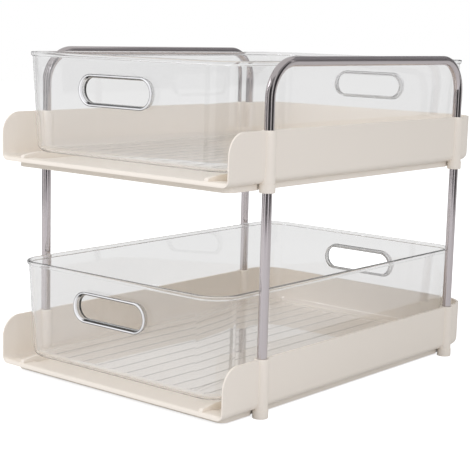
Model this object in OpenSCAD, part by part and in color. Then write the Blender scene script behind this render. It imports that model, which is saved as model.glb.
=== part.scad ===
// Two-tier storage shelf: two moulded trays stacked on four steel posts, a steel handle over each
// side, and a clear pull-out bin on the runners of each tray.
// X runs to the right, Y to the back and Z up. The origin is the centre of the footprint on the floor.

/* [Stand] */
// Distance between the left and right leg centres
leg_span_x = 294; // [270:1:360]
// Distance between the front and rear leg centres
leg_span_y = 332; // [280:1:420]
// Height from one tier to the next
tier_pitch = 211; // [190:1:300]
// Outer diameter of the steel tubes
tube_d = 9.5; // [8:0.5:11]
// Wall thickness of the steel tubes
tube_wall = 1; // [0.6:0.1:1.5]
// Height of the handle bars' centre line above the upper tray's walls
handle_rise = 61.4; // [50:0.1:90]
// Bend radius of the handles at their centre line
handle_bend_r = 34; // [20:1:40]

/* [Trays] */
// Height of a tray from its feet to the top of its walls
tray_h = 56.7; // [50:0.1:80]
// Distance from the front leg centres to the front edge
front_reach = 58; // [50:1:80]
// Distance from the rear leg centres to the outside of the back wall
rear_reach = 47; // [44:1:70]
// Distance from a leg centre to the outside of the side wall
side_reach = 2.3; // [1.5:0.1:4]
// Thickness of the walls
tray_wall = 3; // [2:0.1:4]
// Thickness of the floor
tray_floor = 2.4; // [1.6:0.1:4]
// Radius of the rear corners, seen from above
rear_corner_r = 33; // [24:1:40]
// Radius of each side wall's upper front corner
front_corner_r = 21; // [10:1:30]
// Outside radius of the edge between walls and floor
base_round_r = 7.5; // [5:0.5:8]
// Length over which the side walls thin towards the front
taper_len = 18; // [8:1:30]
// How much thinner a side wall is at its front edge
taper_depth = 1.5; // [0.5:0.1:1.8]

/* [Front lip and runners] */
// Depth of the raised lip from the front edge
lip_depth = 16; // [10:1:25]
// Height of the lip above the floor
lip_rise = 1.5; // [0.5:0.1:3]
// Radius of the lip's rounded front edge
lip_nose_r = 3.5; // [1:0.1:3.8]
// Distance from a leg centre inwards to the middle of the runner
runner_inset = 25.5; // [20:0.5:40]
// Width of a runner
runner_w = 5; // [3:0.5:8]
// Height of a runner above the floor
runner_h = 6.7; // [5:0.1:12]
// Distance from the front edge to a runner's tip
runner_setback = 2; // [1:0.5:8]
// Length of the runner's sloping front
ramp_len = 18; // [8:1:30]
// How much lower the runner is at its tip
ramp_drop = 2; // [0.5:0.1:3]
// Radius of the runner's tip
runner_tip_r = 3; // [1:0.1:3]

/* [Sockets and skirt] */
// Wall thickness of the tube sockets
socket_wall = 2.25; // [1.5:0.05:3]
// Gap all round between a tube and its socket
socket_fit = 0.1; // [0.05:0.05:0.2]
// Thickness of the stop in the middle of each socket
stop_t = 4; // [2:0.5:8]
// How much thicker all round the socket is at its foot
foot_collar = 0.5; // [0.2:0.1:1.5]
// How far the feet stand below the skirt
foot_drop = 2; // [1:0.5:4]
// Height of the skirt under the floor
skirt_h = 6.3; // [4:0.1:12]
// Thickness of the skirt
skirt_t = 3.2; // [2.8:0.1:4]
// Distance from the side and back walls' outside to the skirt
skirt_side_inset = 9; // [8.5:0.5:14]
// Distance from the front edge to the skirt
skirt_front_inset = 12; // [10:1:25]
// Radius of the skirt's front corners
skirt_corner_r = 9; // [5:1:20]
// Gap between the skirt and each socket
skirt_relief = 2; // [1.5:0.1:2.2]

/* [Bins] */
// Gap between a bin's rim and the posts on each side
post_gap = 5.75; // [3:0.25:15]
// Distance from the tray's front edge to the upper bin's rim
front_gap = 11; // [10:0.5:20]
// Distance from the back wall's outside to the upper bin's rim
rear_gap = 3; // [3:0.5:20]
// How much further forward the lower bin stands
lower_forward = 4.5; // [0:0.5:6]
// Height of a bin
bin_h = 100.3; // [80:0.1:130]
// Thickness of a bin's walls
bin_wall = 2; // [1.2:0.1:3]
// Thickness of a bin's floor
bin_floor = 2.2; // [1.2:0.1:4]
// How much each wall leans in from top to bottom
bin_draft = 4; // [2:0.5:8]
// Radius of the rim's corners, seen from above
bin_corner_r = 28; // [18:1:36]
// Radius of the edge between a bin's walls and floor
bin_base_r = 9; // [4:0.5:10]
// Height of the rim bead
rim_h = 4; // [2:0.5:8]
// How far the rim bead stands out from the wall
rim_out = 2.5; // [1:0.5:4]
// Running gap between a bin and its runners
run_gap = 0.3; // [0.2:0.05:0.6]

/* [Grip holes] */
// Length of the collar round a grip hole
grip_w = 92.5; // [70:0.5:140]
// Height of the collar round a grip hole
grip_h = 30; // [24:0.5:40]
// Distance from the rim's top to the middle of the grip hole
grip_drop = 33.8; // [28:0.1:45]
// Thickness of the collar
grip_wall = 2; // [1.2:0.1:3]
// How far the collar stands out from the bin
grip_out = 6.5; // [2:0.5:6.5]
// How far the collar stands in from the bin's wall
grip_in = 0.5; // [0.5:0.5:4]

/* [Floor ridges] */
// Distance between the ridges along a bin's floor
ridge_pitch = 20.6; // [12:0.1:40]
// Width of a ridge
ridge_w = 1.2; // [0.8:0.1:3]
// Height of a ridge
ridge_h = 0.6; // [0.3:0.1:2]

/* [Hidden] */
$fn = 96;
// Facets round the blended corners of the bins
blend_fn = 32;
// Overrun of every cut past the surface it goes through
over = 1;

tray_w = leg_span_x + 2 * side_reach;
tray_l = leg_span_y + front_reach + rear_reach;
front_y = -tray_l / 2;
rear_y = tray_l / 2;
leg_x = leg_span_x / 2;
front_leg_y = front_y + front_reach;
rear_leg_y = rear_y - rear_reach;

pan_z = foot_drop + skirt_h;
floor_z = pan_z + tray_floor;
lip_z = floor_z + lip_rise;
runner_z = floor_z + runner_h;
wall_inner_x = tray_w / 2 - tray_wall;

socket_r = tube_d / 2 + socket_wall;
socket_depth = (tray_h - stop_t) / 2;
post_h = tier_pitch - tray_h + 2 * socket_depth;
handle_leg_z = tier_pitch + tray_h - socket_depth;
handle_bar_z = tier_pitch + tray_h + handle_rise;

rim_x = leg_x - tube_d / 2 - post_gap;
bin_l = tray_l - front_gap - rear_gap;
bin_y = front_y + front_gap;
bin_rest_z = runner_z + run_gap;
grip_z = bin_h - grip_drop;

CREAM = [0.88, 0.86, 0.83];
STEEL = [0.70, 0.67, 0.66];
CLEAR = [0.90, 0.93, 0.95, 0.35];

// A rectangle seen from above, with its own radius at the front and at the rear corners
module rounded_plan(half_w, front, rear, front_r, rear_r) {
    translate([-half_w, front + front_r]) square([2 * half_w, rear - front - front_r - rear_r]);
    translate([-half_w + front_r, front]) square([2 * (half_w - front_r), 2 * front_r]);
    translate([-half_w + rear_r, rear - 2 * rear_r]) square([2 * (half_w - rear_r), 2 * rear_r]);
    for (side = [-1, 1]) {
        translate([side * (half_w - front_r), front + front_r]) circle(front_r);
        translate([side * (half_w - rear_r), rear - rear_r]) circle(rear_r);
    }
}

// The corner that a rounded edge leaves empty, from the origin towards +X and +Y
module corner_waste(r) {
    difference() {
        translate([-over, -over]) square(r + over);
        translate([r, r]) circle(r);
    }
}

// An upright block left of the Z axis with its lower outer edge rounded
module heel_block(w, bottom, top, r) {
    translate([-w, bottom + r]) square([w, top - bottom - r]);
    translate([-w, bottom]) square([w - r, 2 * r]);
    translate([-r, bottom + r]) circle(r);
}

// Cross-section of a wall with the strip of floor at its foot, outside face at zero
module wall_section() {
    difference() {
        heel_block(2 * base_round_r, pan_z, tray_h, base_round_r);
        translate([-tray_wall, 0])
            heel_block(2 * base_round_r, floor_z, tray_h + over, base_round_r - tray_wall);
    }
}

// Everything inside the outside faces of the side walls, along the whole tray
module side_limit() {
    for (side = [0, 1])
        mirror([side, 0, 0])
            translate([tray_w / 2, 0, 0])
                rotate([90, 0, 0])
                    linear_extrude(tray_l, center = true)
                        heel_block(tray_w / 2, pan_z, tray_h, base_round_r);
}

// Side walls, back wall and the two rear corners between them
module tray_walls() {
    for (side = [0, 1])
        mirror([side, 0, 0]) {
            translate([tray_w / 2, rear_y - rear_corner_r, 0])
                rotate([90, 0, 0])
                    linear_extrude(tray_l - rear_corner_r) wall_section();
            translate([tray_w / 2 - rear_corner_r, rear_y - rear_corner_r, 0])
                rotate_extrude(angle = 90)
                    translate([rear_corner_r, 0]) wall_section();
        }
    translate([-tray_w / 2 + rear_corner_r, rear_y, 0])
        rotate([90, 0, 90])
            linear_extrude(tray_w - 2 * rear_corner_r) wall_section();
}

module tray_floor_plate() {
    translate([0, 0, pan_z])
        linear_extrude(tray_floor)
            rounded_plan(tray_w / 2 - base_round_r, front_y + lip_depth / 2, rear_y - base_round_r,
                base_round_r, rear_corner_r - base_round_r);
}

module front_lip() {
    intersection() {
        translate([-tray_w / 2, front_y, pan_z]) cube([tray_w, lip_depth, lip_z - pan_z]);
        side_limit();
    }
}

// What is cut away along the lip's front edge
module lip_nose_waste() {
    translate([-wall_inner_x, front_y, lip_z])
        rotate([90, 0, 90])
            mirror([0, 1])
                linear_extrude(2 * wall_inner_x) corner_waste(lip_nose_r);
}

// What is cut away at the upper front corners of both side walls
module front_corner_waste() {
    translate([-tray_w / 2 - over, front_y, tray_h])
        rotate([90, 0, 90])
            mirror([0, 1])
                linear_extrude(tray_w + 2 * over) corner_waste(front_corner_r);
}

// What is cut off the inside of each side wall near the front
module taper_waste() {
    for (side = [0, 1])
        mirror([side, 0, 0])
            translate([wall_inner_x, front_y, lip_z])
                linear_extrude(tray_h)
                    polygon([[-over, taper_len], [0, taper_len], [taper_depth, 0],
                        [taper_depth, -over], [-over, -over]]);
}

// Skirt under the floor, scooped out round each socket
module skirt() {
    difference() {
        translate([0, 0, foot_drop])
            linear_extrude(skirt_h + tray_floor / 2)
                difference() {
                    skirt_plan(0);
                    skirt_plan(skirt_t);
                }
        at_legs() translate([0, 0, foot_drop - over])
            cylinder(h = skirt_h + over, r = socket_r + foot_collar + skirt_relief);
    }
}

module skirt_plan(inset) {
    rounded_plan(tray_w / 2 - skirt_side_inset - inset, front_y + skirt_front_inset + inset,
        rear_y - skirt_side_inset - inset, skirt_corner_r - inset,
        rear_corner_r - skirt_side_inset - inset);
}

// One runner: a long rib with a rounded tip and a gentle ramp onto its level top
module runner() {
    tip_y = front_y + runner_setback;
    tip_z = runner_z - ramp_drop;
    root_z = pan_z + tray_floor / 2;
    end_y = rear_y - tray_wall / 2;
    translate([-runner_w / 2, 0, 0])
        rotate([90, 0, 90])
            linear_extrude(runner_w) {
                polygon([[tip_y, root_z], [tip_y, tip_z - runner_tip_r], [tip_y + runner_tip_r, tip_z],
                    [tip_y + ramp_len, runner_z], [end_y, runner_z], [end_y, root_z]]);
                translate([tip_y + runner_tip_r, tip_z - runner_tip_r]) circle(runner_tip_r);
            }
}

// Places its children at all four legs
module at_legs() {
    for (x = [-leg_x, leg_x], y = [front_leg_y, rear_leg_y])
        translate([x, y, 0]) children();
}

module socket_bores() {
    at_legs() {
        translate([0, 0, -over]) cylinder(h = socket_depth + over, r = tube_d / 2 + socket_fit);
        translate([0, 0, tray_h - socket_depth])
            cylinder(h = socket_depth + over, r = tube_d / 2 + socket_fit);
    }
}

// One tray: a low pan, open at the front, with a tube socket at each leg
module tray() {
    color(CREAM)
        difference() {
            union() {
                difference() {
                    union() {
                        tray_walls();
                        tray_floor_plate();
                        front_lip();
                    }
                    lip_nose_waste();
                    front_corner_waste();
                    taper_waste();
                }
                skirt();
                for (x = [-leg_x + runner_inset, leg_x - runner_inset])
                    translate([x, 0, 0]) runner();
                at_legs() {
                    cylinder(h = tray_h, r = socket_r);
                    cylinder(h = pan_z, r = socket_r + foot_collar);
                }
            }
            socket_bores();
        }
}

module lower_tray() {
    tray();
}

module upper_tray() {
    translate([0, 0, tier_pitch]) tray();
}

// A straight tube standing between the stops of the lower and the upper tray
module post(x, y) {
    color(STEEL)
        translate([x, y, tray_h - socket_depth])
            difference() {
                cylinder(h = post_h, r = tube_d / 2);
                translate([0, 0, -over]) cylinder(h = post_h + 2 * over, r = tube_d / 2 - tube_wall);
            }
}

module front_left_post() {
    post(-leg_x, front_leg_y);
}

module front_right_post() {
    post(leg_x, front_leg_y);
}

module rear_left_post() {
    post(-leg_x, rear_leg_y);
}

module rear_right_post() {
    post(leg_x, rear_leg_y);
}

// The path of a handle, filled out to radius r, its ends lengthened by extra
module handle_path(r, extra) {
    bar_l = leg_span_y - 2 * handle_bend_r;
    leg_h = handle_bar_z - handle_bend_r - handle_leg_z;
    mid_y = (front_leg_y + rear_leg_y) / 2;
    translate([0, mid_y, handle_bar_z])
        rotate([90, 0, 0]) cylinder(h = bar_l, r = r, center = true);
    for (side = [0, 1])
        translate([0, mid_y, 0])
            mirror([0, side, 0])
                translate([0, leg_span_y / 2, 0]) {
                    translate([0, 0, handle_leg_z - extra]) cylinder(h = leg_h + extra, r = r);
                    translate([0, -handle_bend_r, handle_bar_z - handle_bend_r])
                        rotate([90, 0, 90])
                            rotate_extrude(angle = 90)
                                translate([handle_bend_r, 0]) circle(r);
                }
}

module handle(x) {
    color(STEEL)
        translate([x, 0, 0])
            difference() {
                handle_path(tube_d / 2, 0);
                handle_path(tube_d / 2 - tube_wall, over);
            }
}

module left_handle() {
    handle(-leg_x);
}

module right_handle() {
    handle(leg_x);
}

// The drafted body of a bin with its outside faces moved in by inset and its bottom at base_z.
// It ends at top_z, and the front of the rim is at y = 0.
module bin_body(inset, base_z, top_z) {
    top_x = rim_x - rim_out - inset;
    base_x = top_x - bin_draft;
    top_r = bin_corner_r - rim_out - inset;
    base_r = bin_base_r - inset;
    hull()
        for (x = [-1, 1], y = [0, 1]) {
            translate([x * (top_x - top_r),
                y * bin_l + (1 - 2 * y) * (rim_out + inset + top_r), top_z - over])
                cylinder(h = over, r = top_r, $fn = blend_fn);
            translate([x * (base_x - top_r),
                y * bin_l + (1 - 2 * y) * (rim_out + inset + bin_draft + top_r), base_z + base_r])
                rotate_extrude($fn = blend_fn)
                    translate([top_r - base_r, 0])
                        intersection() {
                            circle(base_r, $fn = blend_fn);
                            translate([0, -base_r]) square(2 * base_r);
                        }
        }
}

// Outline of the collar round a grip hole, moved in by inset
module grip_outline(inset) {
    r = grip_h / 2 - inset;
    straight = grip_w - grip_h;
    square([straight, 2 * r], center = true);
    for (side = [-1, 1])
        translate([side * straight / 2, 0]) circle(r);
}

// Places its children with Z outwards at the middle of the front and the back grip hole,
// zero being the outside of the wall there
module at_grips() {
    lean = bin_draft * grip_drop / bin_h;
    for (back = [0, 1])
        translate([0, back ? bin_l - rim_out - lean : rim_out + lean, grip_z])
            rotate([90, 0, back * 180]) children();
}

// A bin with the front of its rim at y = 0 and its underside at z = 0
module bin() {
    flat_x = rim_x - rim_out - bin_draft - bin_base_r;
    ridges = floor(flat_x / ridge_pitch);
    ridge_from = rim_out + bin_draft + bin_base_r;
    difference() {
        union() {
            difference() {
                union() {
                    bin_body(0, 0, bin_h);
                    translate([0, 0, bin_h - rim_h])
                        linear_extrude(rim_h)
                            rounded_plan(rim_x, 0, bin_l, bin_corner_r, bin_corner_r);
                }
                bin_body(bin_wall, bin_floor, bin_h + over);
            }
            at_grips()
                translate([0, 0, -bin_wall - grip_in])
                    linear_extrude(bin_wall + grip_in + grip_out) grip_outline(0);
            for (i = [-ridges:ridges])
                translate([i * ridge_pitch - ridge_w / 2, ridge_from, bin_floor / 2])
                    cube([ridge_w, bin_l - 2 * ridge_from, bin_floor / 2 + ridge_h]);
        }
        at_grips()
            translate([0, 0, -bin_wall - grip_in - over])
                linear_extrude(bin_wall + grip_in + grip_out + 2 * over) grip_outline(grip_wall);
    }
}

module lower_bin() {
    color(CLEAR) translate([0, bin_y - lower_forward, bin_rest_z]) bin();
}

module upper_bin() {
    color(CLEAR) translate([0, bin_y, tier_pitch + bin_rest_z]) bin();
}

lower_tray();
upper_tray();
left_handle();
right_handle();
front_left_post();
front_right_post();
rear_left_post();
rear_right_post();
lower_bin();
upper_bin();
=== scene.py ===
from math import cos, pi, radians, sin, sqrt

import bmesh
import bpy
from mathutils import Matrix, Vector


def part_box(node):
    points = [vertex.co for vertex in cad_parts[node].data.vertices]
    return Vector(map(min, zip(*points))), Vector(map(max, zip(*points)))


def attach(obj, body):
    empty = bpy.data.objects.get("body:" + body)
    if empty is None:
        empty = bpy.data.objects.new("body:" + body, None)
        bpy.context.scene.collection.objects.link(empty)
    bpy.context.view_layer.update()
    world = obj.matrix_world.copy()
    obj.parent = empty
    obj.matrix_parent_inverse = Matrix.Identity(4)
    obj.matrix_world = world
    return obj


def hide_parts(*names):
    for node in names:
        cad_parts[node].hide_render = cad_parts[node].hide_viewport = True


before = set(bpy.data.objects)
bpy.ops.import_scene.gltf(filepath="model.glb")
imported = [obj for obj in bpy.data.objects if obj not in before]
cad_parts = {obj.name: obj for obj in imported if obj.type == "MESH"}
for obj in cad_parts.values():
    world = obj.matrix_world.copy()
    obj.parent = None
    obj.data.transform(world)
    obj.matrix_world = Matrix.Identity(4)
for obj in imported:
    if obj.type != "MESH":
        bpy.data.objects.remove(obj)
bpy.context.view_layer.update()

# A two-tier storage shelf: moulded cream trays on steel tubes, with clear pull-out bins.
# The frame's unit is the metre; sizes below are written in millimetres times MM.
# The front is towards -Y.

MM = 0.001

# Places and sizes read from the frame
tray_low, tray_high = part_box("lower_tray")
tier_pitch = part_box("upper_tray")[0].z - tray_low.z
post_low, post_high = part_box("front_right_post")
rear_low, rear_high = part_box("rear_right_post")
bin_low, bin_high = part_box("lower_bin")
upper_bin_low, upper_bin_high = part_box("upper_bin")
handle_low, handle_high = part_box("right_handle")

# Posts and handles
LEG_X = (post_low.x + post_high.x) / 2
FRONT_LEG_Y = (post_low.y + post_high.y) / 2
REAR_LEG_Y = (rear_low.y + rear_high.y) / 2
TUBE_R = (post_high.x - post_low.x) / 2
TUBE_WALL = 1 * MM
HANDLE_BEND_R = 34 * MM

# Tray
FRONT_Y = tray_low.y
REAR_Y = tray_high.y
TRAY_H = tray_high.z
SIDE_X = LEG_X + 2.3 * MM
FOOT_DROP = 2 * MM
SKIRT_H = 6.3 * MM
PAN_Z = FOOT_DROP + SKIRT_H
FLOOR_T = 2.4 * MM
FLOOR_Z = PAN_Z + FLOOR_T
WALL_T = 3 * MM
TAPER_LEN = 18 * MM
TAPER_T = 1.5 * MM
BASE_R = 7.5 * MM
REAR_CORNER_R = 33 * MM
FRONT_CORNER_R = 21 * MM
LIP_DEPTH = 16 * MM
LIP_Z = FLOOR_Z + 1.5 * MM
LIP_STEP = 0.2 * MM
LIP_NOSE_R = 3 * MM
EDGE_R = 0.7 * MM

# Tube sockets of a tray
SOCKET_R = TUBE_R + 2.25 * MM
BORE_R = TUBE_R + 0.1 * MM
BORE_FLARE = 0.4 * MM
SOCKET_DEPTH = post_low.z - 4 * MM
SOCKET_EDGE_R = 0.8 * MM
SOCKET_PROUD = 0.1 * MM
FOOT_COLLAR = 0.5 * MM
FOOT_CHAMFER = 0.4 * MM

# Skirt and runners of a tray
SKIRT_T = 3.2 * MM
SKIRT_SIDE_INSET = 9 * MM
SKIRT_FRONT_INSET = 12 * MM
SKIRT_CORNER_R = 9 * MM
SKIRT_RELIEF = 2 * MM
RUNNER_X = LEG_X - 25.5 * MM
RUNNER_W = 5 * MM
RUNNER_H = 6.7 * MM
RUNNER_SETBACK = 2 * MM
RUNNER_TIP_R = 3 * MM
RAMP_LEN = 18 * MM
RAMP_DROP = 2 * MM

# How deep a joined piece reaches into the pan's floor, a hair that keeps two faces apart,
# and the distance within which points become one
BURIED = 1.2 * MM
HAIR = 0.1 * MM
WELD = 0.002 * MM

# Bin
BIN_L = 423 * MM
BIN_H = bin_high.z - bin_low.z
RIM_X = bin_high.x
RIM_OUT = 1.6 * MM
RIM_H = 4 * MM
RIM_R = 1.3 * MM
RIM_EDGE_R = 0.6 * MM
BIN_T = 2 * MM
BIN_FLOOR_T = 2.2 * MM
BIN_DRAFT = 4 * MM
BIN_CORNER_R = 28 * MM
BIN_BASE_R = 9 * MM
RIDGE_PITCH = 20.6 * MM
RIDGE_W = 1.8 * MM
RIDGE_H = 0.15 * MM
RIDGE_MARGIN = 16 * MM

# Collar of a bin's grip hole. Its outer side begins GRIP_ROOT off the wall, and its lip takes up
# the outermost GRIP_LIP_DEPTH.
GRIP_W = 96 * MM
GRIP_H = 31 * MM
GRIP_T = 2.5 * MM
GRIP_DROP = 33.8 * MM
GRIP_OUT = 6.3 * MM
GRIP_FLARE = 1.2 * MM
GRIP_Z = BIN_H - GRIP_DROP
GRIP_WALL_Y = BIN_L / 2 - RIM_OUT - BIN_DRAFT * GRIP_DROP / BIN_H
GRIP_LIP_DEPTH = 0.75 * GRIP_T
GRIP_ROOT = 0.6 * MM

# The shading stays sharp where two faces turn by more than SMOOTH_ANGLE.
# Only edges that turn by more than SHARP_ANGLE are rounded.
SMOOTH_ANGLE = radians(32)
SHARP_ANGLE = radians(40)

# Camera, solved from the legs, trays and handles of the photograph
CAMERA_SPOT = Vector((0.8668, -1.0826, 0.3595))
CAMERA_TURN = radians(39.352)
CAMERA_DIP = radians(9.127)
CAMERA_ROLL = radians(1.585)
CAMERA_LENS = 99.66

# Finishes. Where there are two tones or two values of roughness, the surface varies between them.
CREAM_TONES = (0.86, 0.797, 0.709), (0.884, 0.82, 0.73)
CREAM_ROUGHNESS = 0.34, 0.46
CREAM_IOR = 1.48
STEEL_TONES = (0.51, 0.47, 0.475), (0.66, 0.61, 0.615)
STEEL_ROUGHNESS = 0.06, 0.18
CLEAR_ROUGHNESS = 0.0, 0.03
CLEAR_IOR = 1.57
CLEAR_DENSITY = 3.0
CLEAR_DARKER = 0.99
FLOOR_TONES = (0.73, 0.73, 0.73), (0.75, 0.75, 0.75)
FLOOR_ROUGHNESS = 0.9
CLOTH_LIGHTER = 1.3, 1.28, 1.3
CLOTH_ROUGHNESS = 0.9

# Noise of the brushing, per metre along a tube and per turn round it, and the fine grain's share
# of a moulded surface's height
BRUSH_SCALE = 6, 60, 1
GRAIN_SHARE = 0.3

# The clear plastics of a bin, in the order of its material slots. Haze is the share of light that
# the surface scatters. As a surface turns edge on, its tone runs over edge_range to a painted
# shade, which puts dark edges on the collars and lips in place of the dark that refraction and a
# longer path through the plastic give there. The collars' lower clearness is painted shade too.
CLEAR_FINISHES = {
    "clear_bin_plastic": dict(haze=0.025, clearness=1.0),
    "clear_collar_plastic": dict(haze=0.01, clearness=0.75, painted_edge_shade=0.15, edge_range=(0.45, 0.9)),
    "clear_lip_plastic": dict(haze=0.8, clearness=1.0, painted_edge_shade=0.03, edge_range=(0.3, 0.48)),
}
SIDE_SLOT, LIP_SLOT = 1, 2

# Strength of the backdrop as light, and as each kind of ray sees it. Where a ray is of two kinds,
# the later one holds.
SKY_LIGHT = 0.65
SKY_SEEN = {"Is Glossy Ray": 0.68, "Is Transmission Ray": 0.83, "Is Camera Ray": 1.0}

# How far the floor reaches to each side, and the glow that it adds for each kind of ray
FLOOR_REACH = 5
FLOOR_GLOW = {"Is Glossy Ray": 0.12, "Is Camera Ray": 0.8}

# Lamps, with their spots, sizes, powers in watts and colours
LAMP_AIM = Vector((0, 0, 0.15))
LAMPS = [
    ("key_lamp", (-0.87, -1.74, 1.57), (1.4, 1.4), 20, (0.95, 0.955, 1)),
    ("right_lamp", (1.8, -1.35, 1.2), (0.9, 0.9), 13.5, (0.9, 0.895, 1)),
]

# Rows of dark cloth panels, with their lower and upper edges, tones and spans.
# A span runs between two angles in degrees, counted from the front towards the right.
FLAG_DISTANCE = 1.25
FLAG_SPANS = [(-80, -54), (-28, -9), (14, 58), (78, 128)]
REAR_FLAG_SPANS = [(132, 205)]
FLAG_ROWS = [
    ("low", 0.02, 0.85, 0.05, FLAG_SPANS),
    ("rear", 0.3, 0.85, 0.22, REAR_FLAG_SPANS),
    ("high", 0.85, 1.6, 0.3, FLAG_SPANS + REAR_FLAG_SPANS),
]

# The body of the trays, posts and handles
STAND = "stand"


# Mesh making


def finish_mesh(name, bm):
    """A mesh from bm, shaded smooth except at sharp edges."""
    bmesh.ops.recalc_face_normals(bm, faces=bm.faces)
    for face in bm.faces:
        face.smooth = True
    for edge in bm.edges:
        edge.smooth = edge.calc_face_angle(0) < SMOOTH_ANGLE
    mesh = bpy.data.meshes.new(name)
    bm.to_mesh(mesh)
    bm.free()
    return mesh


def new_object(name, data):
    """An object in the scene, made from a mesh, a light or a camera."""
    obj = bpy.data.objects.new(name, data)
    bpy.context.scene.collection.objects.link(obj)
    return obj


def arc(centre, radius, start, end, steps):
    """Points of an arc in a plane, both ends included, with angles in degrees."""
    turns = [radians(start + (end - start) * i / steps) for i in range(steps + 1)]
    return [(centre[0] + radius * cos(a), centre[1] + radius * sin(a)) for a in turns]


def skin(bm, rings, closed_rings=True, closed_path=False):
    """Faces between neighbouring rings of vertices, each ring with the same number of them."""
    pairs = list(zip(rings, rings[1:]))
    if closed_path:
        pairs.append((rings[-1], rings[0]))
    for one, two in pairs:
        count = len(one)
        for i in range(count if closed_rings else count - 1):
            j = (i + 1) % count
            bm.faces.new((one[i], one[j], two[j], two[i]))


def add_rings(bm, rings):
    """Vertices for lists of points, ring by ring."""
    return [[bm.verts.new(point) for point in ring] for ring in rings]


def prism(bm, outline, at, depth):
    """A closed solid: the outline's points are placed by at(u, v, w) with w at zero and at depth."""
    rings = add_rings(bm, [[at(u, v, w) for u, v in outline] for w in (0, depth)])
    skin(bm, rings)
    bm.faces.new(rings[0])
    bm.faces.new(rings[1])


def lathe(bm, profile, place, steps=64):
    """A round solid about an upright axis at place, with flat ends. The profile gives (radius, height)."""
    turns = [2 * pi * i / steps for i in range(steps)]
    rings = add_rings(bm, [
        [(place[0] + r * cos(a), place[1] + r * sin(a), z) for a in turns] for r, z in profile
    ])
    skin(bm, rings)
    bm.faces.new(rings[0])
    bm.faces.new(rings[-1])


def rounded_outline(half_x, front, rear, front_r, rear_r, steps=10):
    """Outline of a rounded rectangle seen from above, with front and rear corner radii."""
    points = arc((half_x - rear_r, rear - rear_r), rear_r, 0, 90, steps)
    points += arc((-half_x + rear_r, rear - rear_r), rear_r, 90, 180, steps)
    points += arc((-half_x + front_r, front + front_r), front_r, 180, 270, steps)
    points += arc((half_x - front_r, front + front_r), front_r, 270, 360, steps)
    return points


def soften(bm, edges, radius, segments=3):
    """Rounds these edges."""
    bmesh.ops.bevel(bm, geom=edges, offset=radius, segments=segments, profile=0.5, affect="EDGES",
                    clamp_overlap=True)


def sharp_edges(bm):
    """The edges that are sharp enough to be rounded."""
    return [edge for edge in bm.edges if edge.calc_face_angle(0) > SHARP_ANGLE]


def remove_object(obj):
    """Takes obj and its mesh out of the file."""
    mesh = obj.data
    bpy.data.objects.remove(obj)
    bpy.data.meshes.remove(mesh)


def combine(base, tools):
    """Joins or cuts base with each tool in turn, given as (operation, bmesh), and frees the tools."""
    helpers = []
    for operation, bm in tools:
        bmesh.ops.recalc_face_normals(bm, faces=bm.faces)
        helper_mesh = bpy.data.meshes.new("tool")
        bm.to_mesh(helper_mesh)
        bm.free()
        helper = new_object("tool", helper_mesh)
        modifier = base.modifiers.new("tool", "BOOLEAN")
        modifier.operation = operation
        modifier.solver = "EXACT"
        modifier.object = helper
        helpers.append(helper)
    bpy.context.view_layer.update()
    shaped = base.evaluated_get(bpy.context.evaluated_depsgraph_get())
    mesh = bpy.data.meshes.new_from_object(shaped)
    base.modifiers.clear()
    old = base.data
    base.data = mesh
    bpy.data.meshes.remove(old)
    for helper in helpers:
        remove_object(helper)


def settle_normals(obj):
    """Smooth shading after a combine, with flat faces kept flat."""
    bm = bmesh.new()
    bm.from_mesh(obj.data)
    bmesh.ops.remove_doubles(bm, verts=bm.verts, dist=WELD)
    old = obj.data
    obj.data = finish_mesh(old.name, bm)
    bpy.data.meshes.remove(old)
    weighted = obj.modifiers.new("flat faces stay flat", "WEIGHTED_NORMAL")
    weighted.keep_sharp = True


# Tray


def tray_wall_height(depth):
    """Height of the side wall's top at depth behind the front edge."""
    left = max(0, FRONT_CORNER_R - depth)
    return TRAY_H - FRONT_CORNER_R + sqrt(FRONT_CORNER_R**2 - left**2)


def tray_wall_thickness(depth):
    """Thickness of the side wall, which tapers towards the front edge."""
    return WALL_T - TAPER_T * max(0, 1 - depth / TAPER_LEN)


def tray_floor_height(depth):
    """Height of the floor, which rises to a lip near the front edge."""
    if depth > LIP_DEPTH:
        return FLOOR_Z
    left = max(0, LIP_NOSE_R - depth)
    return LIP_Z - LIP_NOSE_R + sqrt(LIP_NOSE_R**2 - left**2)


def tray_wall_section(depth):
    """Points (inwards, up) from the round base over the wall's top and down to the floor."""
    height, thickness = tray_wall_height(depth), tray_wall_thickness(depth)
    floor_z = tray_floor_height(depth)
    inner_r = BASE_R - WALL_T
    points = arc((BASE_R, PAN_Z + BASE_R), BASE_R, 270, 180, 8)
    points += [(0, height), (thickness, height)]
    points += arc((thickness + inner_r, floor_z + inner_r), inner_r, 180, 270, 6)
    return points


def tray_stations():
    """Places (x, y, inward x, inward y, depth) along the right half of the wall, front to rear."""
    depths = [FRONT_CORNER_R * (1 - cos(radians(9 * i))) for i in range(11)]
    # Two close stations make the step behind the lip
    depths += [LIP_DEPTH - LIP_STEP, LIP_DEPTH + LIP_STEP]
    places = [(SIDE_X, FRONT_Y + d, -1, 0, d) for d in sorted(depths)]
    centre = (SIDE_X - REAR_CORNER_R, REAR_Y - REAR_CORNER_R)
    for x, y in arc(centre, REAR_CORNER_R, 0, 90, 14):
        inward = (centre[0] - x) / REAR_CORNER_R, (centre[1] - y) / REAR_CORNER_R
        places.append((x, y, *inward, REAR_Y - FRONT_Y))
    return places


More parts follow.
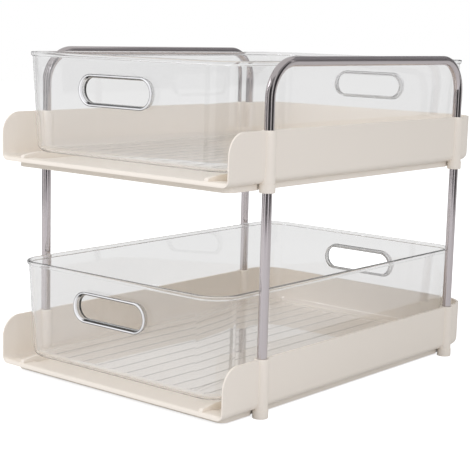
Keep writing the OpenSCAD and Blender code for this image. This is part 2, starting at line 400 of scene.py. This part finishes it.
def tray_pan():
    """Floor, lip and the three walls as one closed mesh with rounded rims."""
    bm = bmesh.new()
    right = tray_stations()
    left = [(-x, y, -nx, ny, depth) for x, y, nx, ny, depth in reversed(right)]
    rings = add_rings(bm, [
        [(x + nx * d, y + ny * d, z) for d, z in tray_wall_section(depth)]
        for x, y, nx, ny, depth in right + left
    ])
    skin(bm, rings, closed_rings=False)
    # The lip from wall to wall, and the floor behind it
    lip_rows = sum(1 for place in right if place[4] <= LIP_DEPTH + LIP_STEP)
    for i in range(lip_rows - 1):
        bm.faces.new((rings[i][-1], rings[i + 1][-1], rings[-2 - i][-1], rings[-1 - i][-1]))
    bm.faces.new([ring[-1] for ring in rings[lip_rows - 1:len(rings) - lip_rows + 1]])
    # The underside, the front ends of both walls, and the front edge between them
    bm.faces.new([ring[0] for ring in rings])
    bm.faces.new(rings[0])
    bm.faces.new(rings[-1])
    bm.faces.new((rings[0][0], rings[0][-1], rings[-1][-1], rings[-1][0]))
    bmesh.ops.recalc_face_normals(bm, faces=bm.faces)
    rims = []
    for edge in sharp_edges(bm):
        low = min(v.co.z for v in edge.verts)
        across = abs(edge.verts[0].co.x - edge.verts[1].co.x) > SIDE_X
        if low > LIP_Z and not across:
            rims.append(edge)
    soften(bm, rims, EDGE_R)
    return bm


def tray_legs():
    """The four places of the posts."""
    return [(x, y) for x in (-LEG_X, LEG_X) for y in (FRONT_LEG_Y, REAR_LEG_Y)]


def tray_sockets():
    """Round posts of plastic at the four legs, without their bores."""
    bm = bmesh.new()
    top = TRAY_H + SOCKET_PROUD
    foot_r = SOCKET_R + FOOT_COLLAR
    profile = [(foot_r - EDGE_R, 0)]
    profile += arc((foot_r - EDGE_R, EDGE_R), EDGE_R, 300, 360, 3)
    profile += [(foot_r, PAN_Z - FOOT_CHAMFER), (foot_r - HAIR, PAN_Z - HAIR), (SOCKET_R, PAN_Z)]
    profile += arc((SOCKET_R - SOCKET_EDGE_R, top - SOCKET_EDGE_R), SOCKET_EDGE_R, 0, 90, 4)
    for place in tray_legs():
        lathe(bm, profile, place)
    return bm


def tray_bores():
    """The holes in both ends of each socket, with a small flare at the mouth."""
    bm = bmesh.new()
    top = TRAY_H + SOCKET_PROUD
    mouth_r = BORE_R + 2 * BORE_FLARE
    lower = [(mouth_r, -BORE_FLARE), (BORE_R, BORE_FLARE), (BORE_R, SOCKET_DEPTH)]
    upper = [(BORE_R, TRAY_H - SOCKET_DEPTH), (BORE_R, top - BORE_FLARE), (mouth_r, top + BORE_FLARE)]
    for place in tray_legs():
        lathe(bm, lower, place)
        lathe(bm, upper, place)
    return bm


def tray_runners():
    """The two ribs that a bin slides on, with a rounded tip and a ramp."""
    bm = bmesh.new()
    tip_y = FRONT_Y + RUNNER_SETBACK
    top = FLOOR_Z + RUNNER_H
    tip_z = top - RAMP_DROP
    root_z = PAN_Z + BURIED + HAIR
    end_y = REAR_Y - WALL_T / 2
    outline = [(tip_y, root_z)]
    outline += arc((tip_y + RUNNER_TIP_R, tip_z - RUNNER_TIP_R), RUNNER_TIP_R, 180, 90, 6)
    outline += [(tip_y + RAMP_LEN, top), (end_y, top), (end_y, root_z)]
    for side in (-1, 1):
        start = side * RUNNER_X - RUNNER_W / 2
        prism(bm, outline, lambda y, z, w, start=start: (start + w, y, z), RUNNER_W)
    bmesh.ops.recalc_face_normals(bm, faces=bm.faces)
    above_floor = [e for e in sharp_edges(bm) if min(v.co.z for v in e.verts) > FLOOR_Z - BURIED]
    soften(bm, above_floor, EDGE_R)
    return bm


def tray_skirt():
    """The ring under the floor, scooped out round each socket."""
    bm = bmesh.new()
    rings = []
    for inset in (0, SKIRT_T):
        outline = rounded_outline(SIDE_X - SKIRT_SIDE_INSET - inset, FRONT_Y + SKIRT_FRONT_INSET + inset,
                                  REAR_Y - SKIRT_SIDE_INSET - inset, SKIRT_CORNER_R - inset,
                                  REAR_CORNER_R - SKIRT_SIDE_INSET - inset)
        rings += [[(x, y, z) for x, y in outline] for z in (FOOT_DROP, PAN_Z + BURIED)]
    low_out, high_out, low_in, high_in = add_rings(bm, rings)
    skin(bm, [low_out, high_out, high_in, low_in], closed_path=True)
    bmesh.ops.recalc_face_normals(bm, faces=bm.faces)
    soften(bm, [e for e in sharp_edges(bm) if max(v.co.z for v in e.verts) < PAN_Z], EDGE_R, 2)
    ring = new_object("skirt", finish_mesh("skirt", bm))
    scoops = bmesh.new()
    scoop_r = SOCKET_R + FOOT_COLLAR + SKIRT_RELIEF
    for place in tray_legs():
        lathe(scoops, [(scoop_r, 0), (scoop_r, PAN_Z - HAIR / 2)], place)
    combine(ring, [("DIFFERENCE", scoops)])
    scooped = bmesh.new()
    scooped.from_mesh(ring.data)
    remove_object(ring)
    return scooped


def tray_object():
    """One whole tray moulding, standing with its feet at zero."""
    tray = new_object("tray", finish_mesh("tray_moulding", tray_pan()))
    combine(tray, [("UNION", tray_sockets()), ("UNION", tray_runners()), ("UNION", tray_skirt()),
                   ("DIFFERENCE", tray_bores())])
    settle_normals(tray)
    return tray


# Tubes


def tube_mesh(name, path, steps=48):
    """A hollow steel tube along path, with its length and its turn kept as the UV map tube_uv."""
    bm = bmesh.new()
    uv = bm.loops.layers.uv.new("tube_uv")
    side = Vector((1, 0, 0))
    turns = [2 * pi * k / steps for k in range(steps)]
    along = [0]
    for a, b in zip(path, path[1:]):
        along.append(along[-1] + (b - a).length)
    rows = []
    for i, point in enumerate(path):
        before, after = path[max(0, i - 1)], path[min(len(path) - 1, i + 1)]
        tangent = (after - before).normalized()
        up = tangent.cross(side)
        rows.append(add_rings(bm, [
            [point + r * (cos(a) * side + sin(a) * up) for a in turns] for r in (TUBE_R, TUBE_R - TUBE_WALL)
        ]))
    for layer in (0, 1):
        for i in range(len(path) - 1):
            for k in range(steps):
                m = (k + 1) % steps
                face = bm.faces.new((rows[i][layer][k], rows[i][layer][m],
                                     rows[i + 1][layer][m], rows[i + 1][layer][k]))
                for loop, spot in zip(face.loops, ((i, k), (i, k + 1), (i + 1, k + 1), (i + 1, k))):
                    loop[uv].uv = (along[spot[0]], spot[1] / steps)
    for end in (0, -1):
        skin(bm, rows[end])
    return finish_mesh(name, bm)


def post_path():
    """Centre line of a post, from the lower tray's sockets to the upper tray's."""
    return [Vector((0, 0, post_low.z + (post_high.z - post_low.z) * i / 8)) for i in range(9)]


def handle_path():
    """Centre line of a handle in its own plane: up one leg, over the bar and down the other."""
    bend_z = handle_high.z - TUBE_R - HANDLE_BEND_R
    leg = [handle_low.z + (bend_z - handle_low.z) * i / 4 for i in range(4)]
    points = [(REAR_LEG_Y, z) for z in leg]
    points += arc((REAR_LEG_Y - HANDLE_BEND_R, bend_z), HANDLE_BEND_R, 0, 90, 20)
    points += arc((FRONT_LEG_Y + HANDLE_BEND_R, bend_z), HANDLE_BEND_R, 90, 180, 20)
    points += [(FRONT_LEG_Y, z) for z in reversed(leg)]
    return [Vector((0, y, z)) for y, z in points]


# Bin


def bin_outline(inset, z, steps=12):
    """Outline of the bin's drafted wall at height z, moved in by inset."""
    lean = BIN_DRAFT * (1 - z / BIN_H)
    half_x = RIM_X - RIM_OUT - lean - inset
    half_y = BIN_L / 2 - RIM_OUT - lean - inset
    r = BIN_CORNER_R - RIM_OUT - inset
    return [(x, y, z) for x, y in rounded_outline(half_x, -half_y, half_y, r, r, steps)]


def bin_shell():
    """Walls, floor and rounded rim of a bin as one closed mesh."""
    rim_low = BIN_H - RIM_H
    small_r = RIM_EDGE_R
    nook = 0.3 * small_r
    inner_r = BIN_BASE_R - BIN_T
    # Points (inwards, up) from the round base up the outside, over the rim and down the inside
    section = arc((BIN_BASE_R, BIN_BASE_R), BIN_BASE_R, 270, 180, 6)
    section += [(0, rim_low - small_r), (-nook, rim_low - nook), (-small_r, rim_low)]
    section += [(-x, z) for x, z in arc((RIM_OUT - RIM_R, rim_low + RIM_R), RIM_R, 270, 360, 5)]
    section += [(-x, z) for x, z in arc((RIM_OUT - RIM_R, BIN_H - RIM_R), RIM_R, 0, 90, 5)]
    section += arc((BIN_T - small_r, BIN_H - small_r), small_r, 90, 0, 4)
    section += arc((BIN_T + inner_r, BIN_FLOOR_T + inner_r), inner_r, 180, 270, 6)
    bm = bmesh.new()
    rings = add_rings(bm, [bin_outline(inset, z) for inset, z in section])
    skin(bm, rings)
    bm.faces.new(rings[0])
    bm.faces.new(rings[-1])
    return bm


def grip_outline(inset, steps=16):
    """Outline of a grip hole's collar, moved in by inset."""
    r = GRIP_H / 2 - inset
    half = (GRIP_W - GRIP_H) / 2
    return arc((half, 0), r, -90, 90, steps) + arc((-half, 0), r, 90, 270, steps)


def at_grip(side):
    """Places a point (u across, v up, w out of the wall) at the front (-1) or back (1) grip hole."""
    return lambda u, v, w: (u * -side, side * (GRIP_WALL_Y + w), GRIP_Z + v)


def grip_cutters():
    """What is cut out of the walls where the collars go in."""
    bm = bmesh.new()
    for side in (-1, 1):
        place = at_grip(side)
        prism(bm, grip_outline(GRIP_FLARE + GRIP_T / 2),
              lambda u, v, w, place=place: place(u, v, w - 2 * BIN_T), 4 * BIN_T)
    return bm


def grip_collars():
    """The rounded rings round the grip holes, which widen towards their lips."""
    bm = bmesh.new()
    r = GRIP_T / 2
    steps = 5
    # Points (inwards, out of the wall) a millimetre apart, up to where the round of the lip begins
    flare = []
    for i in range(steps + 1):
        flare.append((GRIP_FLARE * (1 - (i / steps) ** 3), GRIP_OUT - r - (steps - i) * MM))
    section = flare + arc((r, GRIP_OUT - r), r, 180, 0, 8)[1:-1]
    section += [(x + GRIP_T, w) for x, w in reversed(flare)]
    section += arc((GRIP_FLARE + r, r - BIN_T), r, 0, -180, 8)
    for side in (-1, 1):
        place = at_grip(side)
        rings = add_rings(bm, [[place(u, v, w) for u, v in grip_outline(x)] for x, w in section])
        skin(bm, rings, closed_path=True)
    return bm


def floor_ridges():
    """Low rounded ridges along the bin's floor."""
    bm = bmesh.new()
    flat_x = RIM_X - RIM_OUT - BIN_DRAFT - BIN_BASE_R
    half_l = BIN_L / 2 - RIM_OUT - BIN_DRAFT - RIDGE_MARGIN
    count = int(flat_x / RIDGE_PITCH)
    half_w = RIDGE_W / 2
    outline = [(-half_w, BIN_FLOOR_T / 2)]
    for i in range(9):
        x = half_w * (i / 4 - 1)
        outline.append((x, BIN_FLOOR_T + RIDGE_H * (1 - (x / half_w) ** 2)))
    outline.append((half_w, BIN_FLOOR_T / 2))
    for i in range(-count, count + 1):
        prism(bm, outline, lambda x, z, w, i=i: (i * RIDGE_PITCH + x, w - half_l, z), 2 * half_l)
    return bm


def bin_object():
    """One whole clear bin, its underside at zero and its middle on the axis."""
    shell = new_object("bin", finish_mesh("clear_bin", bin_shell()))
    combine(shell, [("DIFFERENCE", grip_cutters()), ("UNION", grip_collars()), ("UNION", floor_ridges())])
    settle_normals(shell)
    return shell


# Nodes


def add_node(tree, kind, **values):
    """A node of a kind, with its properties or its named inputs set."""
    node = tree.nodes.new(kind)
    for name, value in values.items():
        if name in node.inputs:
            node.inputs[name].default_value = value
        else:
            setattr(node, name, value)
    return node


def feed(tree, socket, source):
    """Sets an input socket to a number or a colour, or links it to the output that feeds it."""
    if isinstance(source, bpy.types.NodeSocket):
        tree.links.new(source, socket)
    elif isinstance(source, tuple):
        socket.default_value = (*source, 1)
    else:
        socket.default_value = source


def reckon(tree, operation, *terms, use_clamp=False):
    """The result of a Math node on these terms."""
    node = add_node(tree, "ShaderNodeMath", operation=operation, use_clamp=use_clamp)
    for socket, term in zip(node.inputs, terms):
        feed(tree, socket, term)
    return node.outputs["Value"]


def between(tree, mask, low, high, start=0, end=1):
    """A number that runs from low to high while the mask runs from start to end."""
    node = tree.nodes.new("ShaderNodeMapRange")
    for name, value in (("From Min", start), ("From Max", end), ("To Min", low), ("To Max", high)):
        node.inputs[name].default_value = value
    tree.links.new(mask, node.inputs["Value"])
    return node.outputs["Result"]


def blend_colours(tree, mask, one, two):
    """A colour between one and two by the mask."""
    node = add_node(tree, "ShaderNodeMix", data_type="RGBA")
    tree.links.new(mask, node.inputs["Factor"])
    colours = [socket for socket in node.inputs if socket.type == "RGBA"]
    for socket, colour in zip(colours, (one, two)):
        feed(tree, socket, colour)
    return next(socket for socket in node.outputs if socket.type == "RGBA")


def mix_shaders(tree, mask, one, two):
    """Shader one where the mask is 0 and shader two where it is 1."""
    mix = tree.nodes.new("ShaderNodeMixShader")
    for socket, source in zip(mix.inputs, (mask, one, two)):
        tree.links.new(source, socket)
    return mix.outputs["Shader"]


def by_ray(tree, plain, seen):
    """A strength that is plain for scattered light, and has its own value for each kind of seeing ray."""
    path = tree.nodes.new("ShaderNodeLightPath")
    strength = plain
    for rays, value in seen.items():
        mix = tree.nodes.new("ShaderNodeMix")
        feed(tree, mix.inputs["A"], strength)
        feed(tree, mix.inputs["B"], value)
        tree.links.new(path.outputs[rays], mix.inputs["Factor"])
        strength = mix.outputs["Result"]
    return strength


def uneven_surface_group():
    """Fine surface grain as a height, and the slow unevenness of a face as a mask."""
    group = bpy.data.node_groups.new("Uneven surface", "ShaderNodeTree")
    for title, value in (("Grain scale", 900), ("Wave scale", 12)):
        socket = group.interface.new_socket(title, in_out="INPUT", socket_type="NodeSocketFloat")
        socket.default_value = value
    for title in ("Height", "Unevenness"):
        group.interface.new_socket(title, in_out="OUTPUT", socket_type="NodeSocketFloat")
    entry = group.nodes.new("NodeGroupInput")
    leave = group.nodes.new("NodeGroupOutput")
    place = group.nodes.new("ShaderNodeTexCoord")
    grain = add_node(group, "ShaderNodeTexNoise", Detail=3.0, Roughness=0.6)
    wave = add_node(group, "ShaderNodeTexNoise", Detail=2.0, Roughness=0.5)
    for noise, scale in ((grain, "Grain scale"), (wave, "Wave scale")):
        group.links.new(place.outputs["Object"], noise.inputs["Vector"])
        group.links.new(entry.outputs[scale], noise.inputs["Scale"])
    height = reckon(group, "MULTIPLY_ADD", grain.outputs["Fac"], GRAIN_SHARE, wave.outputs["Fac"])
    group.links.new(height, leave.inputs["Height"])
    group.links.new(wave.outputs["Fac"], leave.inputs["Unevenness"])
    return group


def place_group(tree, group, values):
    """A node group in a material, with this material's own values by the names of the group's inputs."""
    node = add_node(tree, "ShaderNodeGroup", node_tree=group)
    for name, value in values.items():
        node.inputs[name].default_value = value
    return node


def emboss(tree, shader, height, strength, distance):
    """Bumps the shader's surface by height."""
    bump = add_node(tree, "ShaderNodeBump", Strength=strength, Distance=distance)
    tree.links.new(height, bump.inputs["Height"])
    tree.links.new(bump.outputs["Normal"], shader.inputs["Normal"])


# Materials


def new_material(name):
    """An empty node material, with its tree, Principled shader and output."""
    material = bpy.data.materials.new(name)
    material.use_nodes = True
    tree = material.node_tree
    tree.nodes.clear()
    shader = tree.nodes.new("ShaderNodeBsdfPrincipled")
    output = tree.nodes.new("ShaderNodeOutputMaterial")
    tree.links.new(shader.outputs["BSDF"], output.inputs["Surface"])
    return material, tree, shader, output


def cream_plastic(uneven):
    """Satin cream moulded plastic of the trays."""
    material, tree, shader, _ = new_material("cream_moulded_plastic")
    surface = place_group(tree, uneven, {"Grain scale": 1400, "Wave scale": 9})
    mask = surface.outputs["Unevenness"]
    tree.links.new(blend_colours(tree, mask, *CREAM_TONES), shader.inputs["Base Color"])
    tree.links.new(between(tree, mask, *CREAM_ROUGHNESS), shader.inputs["Roughness"])
    emboss(tree, shader, surface.outputs["Height"], strength=0.08, distance=0.12 * MM)
    shader.inputs["IOR"].default_value = CREAM_IOR
    return material


def steel_tube():
    """Stainless tube, brushed along its length."""
    material, tree, shader, _ = new_material("brushed_steel_tube")
    place = add_node(tree, "ShaderNodeUVMap", uv_map="tube_uv")
    stretch = add_node(tree, "ShaderNodeMapping", Scale=BRUSH_SCALE)
    lines = add_node(tree, "ShaderNodeTexNoise", Scale=1.0, Detail=4.0, Roughness=0.65)
    tree.links.new(place.outputs["UV"], stretch.inputs["Vector"])
    tree.links.new(stretch.outputs["Vector"], lines.inputs["Vector"])
    mask = lines.outputs["Fac"]
    tree.links.new(blend_colours(tree, mask, *STEEL_TONES), shader.inputs["Base Color"])
    tree.links.new(between(tree, mask, *STEEL_ROUGHNESS), shader.inputs["Roughness"])
    emboss(tree, shader, mask, strength=0.15, distance=0.06 * MM)
    shader.inputs["Metallic"].default_value = 1
    return material


def clear_plastic(uneven, name, haze, clearness, painted_edge_shade=None, edge_range=None):
    """Clear glossy plastic, which lets scattered light and shadow rays straight through."""
    material, tree, shader, output = new_material(name)
    mask = place_group(tree, uneven, {"Wave scale": 7}).outputs["Unevenness"]
    colour = blend_colours(tree, mask, (CLEAR_DARKER * clearness,) * 3, (clearness,) * 3)
    # Painted shade: the colour darkens towards an edge-on view, for dark edges on collars and lips
    if painted_edge_shade:
        facing = tree.nodes.new("ShaderNodeLayerWeight").outputs["Facing"]
        edge = between(tree, facing, 0, 1, *edge_range)
        colour = blend_colours(tree, edge, colour, (painted_edge_shade,) * 3)
    tree.links.new(colour, shader.inputs["Base Color"])
    tree.links.new(between(tree, mask, *CLEAR_ROUGHNESS), shader.inputs["Roughness"])
    emboss(tree, shader, mask, strength=0.05, distance=0.4 * MM)
    shader.inputs["Transmission Weight"].default_value = 1 - haze
    shader.inputs["IOR"].default_value = CLEAR_IOR
    path = tree.nodes.new("ShaderNodeLightPath")
    let_through = add_node(tree, "ShaderNodeBsdfTransparent", Color=(1, 1, 1, 1))
    surface = shader.outputs["BSDF"]
    for rays in ("Is Diffuse Ray", "Is Shadow Ray"):
        surface = mix_shaders(tree, path.outputs[rays], surface, let_through.outputs["BSDF"])
    tree.links.new(surface, output.inputs["Surface"])
    body = add_node(tree, "ShaderNodeVolumeAbsorption", Color=(0, 0, 0, 1), Density=CLEAR_DENSITY)
    tree.links.new(body.outputs["Volume"], output.inputs["Volume"])
    return material


def floor_white(uneven):
    """Plain pale floor, slightly uneven, that keeps the shelf's shadow and looks even through the bins."""
    material, tree, shader, output = new_material("white_studio_floor")
    mask = place_group(tree, uneven, {"Wave scale": 2}).outputs["Unevenness"]
    tree.links.new(blend_colours(tree, mask, *FLOOR_TONES), shader.inputs["Base Color"])
    shader.inputs["Emission Color"].default_value = (1, 1, 1, 1)
    tree.links.new(by_ray(tree, 0, FLOOR_GLOW), shader.inputs["Emission Strength"])
    shader.inputs["Roughness"].default_value = FLOOR_ROUGHNESS
    shader.inputs["Specular IOR Level"].default_value = 0.0
    through_clear = add_node(tree, "ShaderNodeEmission", Strength=SKY_SEEN["Is Transmission Ray"])
    path = tree.nodes.new("ShaderNodeLightPath")
    surface = mix_shaders(tree, path.outputs["Is Transmission Ray"], shader.outputs["BSDF"],
                          through_clear.outputs["Emission"])
    tree.links.new(surface, output.inputs["Surface"])
    return material


def flag_cloth(uneven, name, tone):
    """Dark cloth that only mirrored rays see, and not those that also pass one to three clear faces."""
    material, tree, shader, output = new_material(name)
    mask = place_group(tree, uneven, {"Wave scale": 3}).outputs["Unevenness"]
    lighter = tuple(times * tone for times in CLOTH_LIGHTER)
    tree.links.new(blend_colours(tree, mask, (tone,) * 3, lighter), shader.inputs["Base Color"])
    shader.inputs["Roughness"].default_value = CLOTH_ROUGHNESS
    path = tree.nodes.new("ShaderNodeLightPath")
    not_scattered = reckon(tree, "LESS_THAN", path.outputs["Diffuse Depth"], 0.5)
    mirrored = reckon(tree, "MINIMUM", not_scattered, path.outputs["Glossy Depth"])
    few_clear_faces = reckon(tree, "COMPARE", path.outputs["Transmission Depth"], 2, 1.5)
    shown = reckon(tree, "SUBTRACT", mirrored, few_clear_faces, use_clamp=True)
    nothing = tree.nodes.new("ShaderNodeBsdfTransparent")
    surface = mix_shaders(tree, shown, nothing.outputs["BSDF"], shader.outputs["BSDF"])
    tree.links.new(surface, output.inputs["Surface"])
    return material


# Scene


def wear(obj, *materials):
    """Gives obj these materials."""
    obj.data.materials.clear()
    for material in materials:
        obj.data.materials.append(material)


def dress(obj, name, body, node, place):
    """Names a piece, puts it in place, hangs it on its body and hides the part of the node that it stands
    for.
    """
    obj.name = name
    obj.location = place
    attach(obj, body)
    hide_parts(node)


def copy_of(obj):
    """A second object that shares obj's mesh and has the same modifiers."""
    twin = obj.copy()
    bpy.context.scene.collection.objects.link(twin)
    return twin


def make_trays(material):
    """Both trays, which are the same moulding."""
    lower = tray_object()
    wear(lower, material)
    upper = copy_of(lower)
    dress(lower, "lower_tray_moulding", STAND, "lower_tray", (0, 0, 0))
    dress(upper, "upper_tray_moulding", STAND, "upper_tray", (0, 0, tier_pitch))


def make_tubes(material):
    """The four posts and the two handles."""
    post = tube_mesh("post_tube", post_path())
    handle = tube_mesh("handle_tube", handle_path())
    for mesh in (post, handle):
        mesh.materials.append(material)
    for side, x in (("left", -LEG_X), ("right", LEG_X)):
        piece = new_object(f"{side}_handle_tube", handle)
        dress(piece, piece.name, STAND, f"{side}_handle", (x, 0, 0))
        for end, y in (("front", FRONT_LEG_Y), ("rear", REAR_LEG_Y)):
            piece = new_object(f"{end}_{side}_tube", post)
            dress(piece, piece.name, STAND, f"{end}_{side}_post", (x, y, 0))


def dress_collars(obj):
    """Gives a bin's grip collars their own materials, for their sides and for their rounded lips."""
    margin = 1 * MM
    for face in obj.data.polygons:
        x, y, z = face.center
        if abs(x) > GRIP_W / 2 + margin or abs(z - GRIP_Z) > GRIP_H / 2 + margin:
            continue
        out = abs(y) - GRIP_WALL_Y
        faces_sideways = abs(face.normal.y) < 0.8
        inside_hole = out > -BIN_T - margin and faces_sideways
        if out > GRIP_OUT - GRIP_LIP_DEPTH:
            face.material_index = LIP_SLOT
        elif out > GRIP_ROOT or inside_hole:
            face.material_index = SIDE_SLOT


def make_bins(materials):
    """Both bins, which are the same moulding."""
    lower = bin_object()
    wear(lower, *materials)
    dress_collars(lower)
    upper = copy_of(lower)
    tiers = ((lower, "lower", bin_low, bin_high), (upper, "upper", upper_bin_low, upper_bin_high))
    for piece, tier, low, high in tiers:
        place = (0, (low.y + high.y) / 2, low.z)
        dress(piece, f"{tier}_clear_bin", f"{tier}_bin_body", f"{tier}_bin", place)


def make_floor(uneven):
    """The floor that the shelf stands on."""
    bm = bmesh.new()
    bmesh.ops.create_grid(bm, x_segments=4, y_segments=4, size=FLOOR_REACH)
    floor = new_object("studio_floor", finish_mesh("studio_floor", bm))
    wear(floor, floor_white(uneven))


def make_flags(uneven):
    """Dark cloth panels all round, which give the steel its dark and light streaks."""
    for row, bottom, top, tone, spans in FLAG_ROWS:
        cloth = flag_cloth(uneven, f"{row}_flag_cloth", tone)
        for i, (start, end) in enumerate(spans):
            foot = arc((0, 0), FLAG_DISTANCE, start - 90, end - 90, 8)
            bm = bmesh.new()
            edges = add_rings(bm, [[(x, y, z) for x, y in foot] for z in (bottom, top)])
            skin(bm, edges, closed_rings=False)
            flag = new_object(f"{row}_flag_{i}", finish_mesh(f"{row}_flag_{i}", bm))
            wear(flag, cloth)
            for rays in ("camera", "diffuse", "shadow", "volume_scatter"):
                setattr(flag, f"visible_{rays}", False)


def make_world():
    """Soft white light from all sides. Only rays that reach it find it, so the panels can hide it."""
    world = bpy.data.worlds.new("white_studio")
    bpy.context.scene.world = world
    world.use_nodes = True
    world.cycles.sampling_method = "NONE"
    tree = world.node_tree
    tree.nodes.clear()
    light = add_node(tree, "ShaderNodeBackground", Color=(1, 1, 1, 1))
    output = tree.nodes.new("ShaderNodeOutputWorld")
    tree.links.new(by_ray(tree, SKY_LIGHT, SKY_SEEN), light.inputs["Strength"])
    tree.links.new(light.outputs["Background"], output.inputs["Surface"])


def make_lamp(name, spot, size, power, colour):
    """A soft lamp at spot that faces the shelf and isn't mirrored."""
    light = bpy.data.lights.new(name, "AREA")
    light.shape = "RECTANGLE"
    light.size, light.size_y = size
    light.energy = power
    light.color = colour
    lamp = new_object(name, light)
    lamp.location = spot
    lamp.rotation_mode = "QUATERNION"
    lamp.rotation_quaternion = (LAMP_AIM - Vector(spot)).to_track_quat("-Z", "Y")
    lamp.visible_glossy = False


def make_camera():
    """The camera of the photograph: turned left, dipped down and slightly rolled."""
    ahead = Vector((-sin(CAMERA_TURN), cos(CAMERA_TURN), 0))
    level = Vector((cos(CAMERA_TURN), sin(CAMERA_TURN), 0))
    forward = cos(CAMERA_DIP) * ahead - Vector((0, 0, sin(CAMERA_DIP)))
    upright = level.cross(forward)
    right = cos(CAMERA_ROLL) * level + sin(CAMERA_ROLL) * upright
    up = cos(CAMERA_ROLL) * upright - sin(CAMERA_ROLL) * level
    data = bpy.data.cameras.new("photo_camera")
    data.lens = CAMERA_LENS
    camera = new_object("photo_camera", data)
    axes = Matrix((right, up, -forward)).transposed().to_4x4()
    camera.matrix_world = Matrix.Translation(CAMERA_SPOT) @ axes
    bpy.context.scene.camera = camera


def make_scene():
    """The whole shelf, its floor, its light and its camera."""
    uneven = uneven_surface_group()
    make_camera()
    make_trays(cream_plastic(uneven))
    make_tubes(steel_tube())
    make_bins([clear_plastic(uneven, name, **finish) for name, finish in CLEAR_FINISHES.items()])
    make_floor(uneven)
    make_world()
    make_flags(uneven)
    for lamp in LAMPS:
        make_lamp(*lamp)
    bpy.context.scene.view_settings.view_transform = "Standard"


make_scene()
